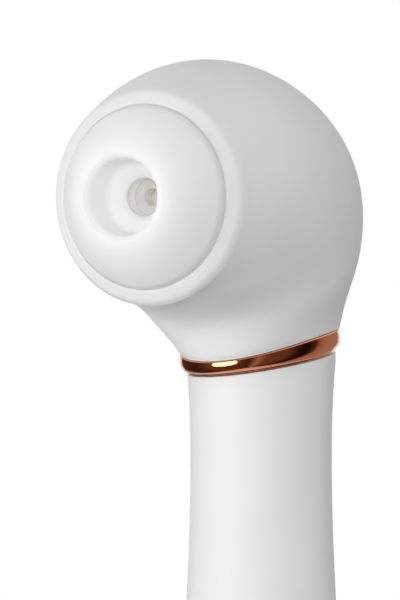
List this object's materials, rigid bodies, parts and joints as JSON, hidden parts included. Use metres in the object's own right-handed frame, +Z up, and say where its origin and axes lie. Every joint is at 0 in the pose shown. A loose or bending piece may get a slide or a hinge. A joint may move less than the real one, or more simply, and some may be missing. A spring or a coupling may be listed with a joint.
{
  "type": "vacuum pore cleaner",
  "caption": "Handheld suction pore cleaner: round soft head with a removable suction cup, slanted metal trim ring, slim upright handle, pump and cell inside.",
  "frame": {"origin": "centre of the flat foot, on the surface the device stands on", "axes": "+Z up along the handle's axis, -Y the way the suction cup looks, +X to the cup's left as it faces the viewer"},
  "size_m": [0.0556, 0.0751, 0.1793],
  "materials": {
    "skin_silicone": "soft matte",
    "cup_silicone": "soft matte",
    "inner_white": "moulded",
    "screw_steel": "plain",
    "port_plastic": "moulded",
    "filter_felt": "felt",
    "black_rubber": "matte",
    "tube_silicone": "translucent",
    "motor_steel": "plain",
    "black_plastic": "moulded",
    "shaft_steel": "ground",
    "grey_plastic": "moulded",
    "eccentric_brass": "turned",
    "rose_gold": "polished rose-gold plating",
    "handle_white": "satin",
    "gasket_rubber": "matte",
    "cell_wrap": "printed wrap over the can",
    "contact_steel": "plated",
    "board_green": "solder mask",
    "switch_steel": "plain",
    "button_white": "satin",
    "led_white": "moulded",
    "clear_pipe": "clear",
    "socket_steel": "drawn",
    "lead_black": "insulation",
    "lead_red": "insulation"
  },
  "bodies": {
    "device": {"head_skin": "skin_silicone", "head_shell_left": "inner_white", "head_shell_right": "inner_white", "nose_plate": "inner_white", "nose_screw_1": "screw_steel", "nose_screw_2": "screw_steel", "nose_screw_3": "screw_steel", "nose_screw_4": "screw_steel", "suction_port": "port_plastic", "port_filter": "filter_felt", "port_seal": "black_rubber", "air_tube": "tube_silicone", "motor_can": "motor_steel", "motor_cap": "black_plastic", "pump_body": "grey_plastic", "wobble_plate": "inner_white", "pump_diaphragm": "black_rubber", "valve_plate": "inner_white", "pump_cover": "grey_plastic", "trim_ring": "rose_gold", "neck_coupler": "grey_plastic", "handle_shell": "handle_white", "end_cap": "handle_white", "base_gasket": "gasket_rubber", "base_screw_left": "screw_steel", "base_screw_right": "screw_steel", "chassis": "black_plastic", "battery_cell": "cell_wrap", "cell_contact_bottom": "contact_steel", "cell_contact_top": "contact_steel", "control_board": "board_green", "power_switch": "switch_steel", "mode_switch": "switch_steel", "indicator_led": "led_white", "light_pipe": "clear_pipe", "charge_socket": "socket_steel", "motor_lead_left": "lead_black", "motor_lead_right": "lead_red"},
    "suction_cup": {"suction_cup": "cup_silicone"},
    "power_button": {"power_button": "button_white"},
    "mode_button": {"mode_button": "button_white"},
    "rotor": {"motor_shaft": "shaft_steel", "eccentric": "eccentric_brass"}
  },
  "joints": [
    {"name": "cup_pull", "type": "slide", "parent": "device", "child": "suction_cup", "axis": [0, -0.9748, -0.2233], "range_m": [0, 0.03]},
    {"name": "power_press", "type": "slide", "parent": "device", "child": "power_button", "axis": [0, -1, 0], "range_m": [0, 0.0008], "stiffness_N_per_m": 900},
    {"name": "mode_press", "type": "slide", "parent": "device", "child": "mode_button", "axis": [0, -1, 0], "range_m": [0, 0.0008], "stiffness_N_per_m": 900},
    {"name": "motor_spin", "type": "hinge", "parent": "device", "child": "rotor", "pos_m": [0, -0.00975, 0.15484], "axis": [0, -0.9748, -0.2233], "continuous": true}
  ]
}
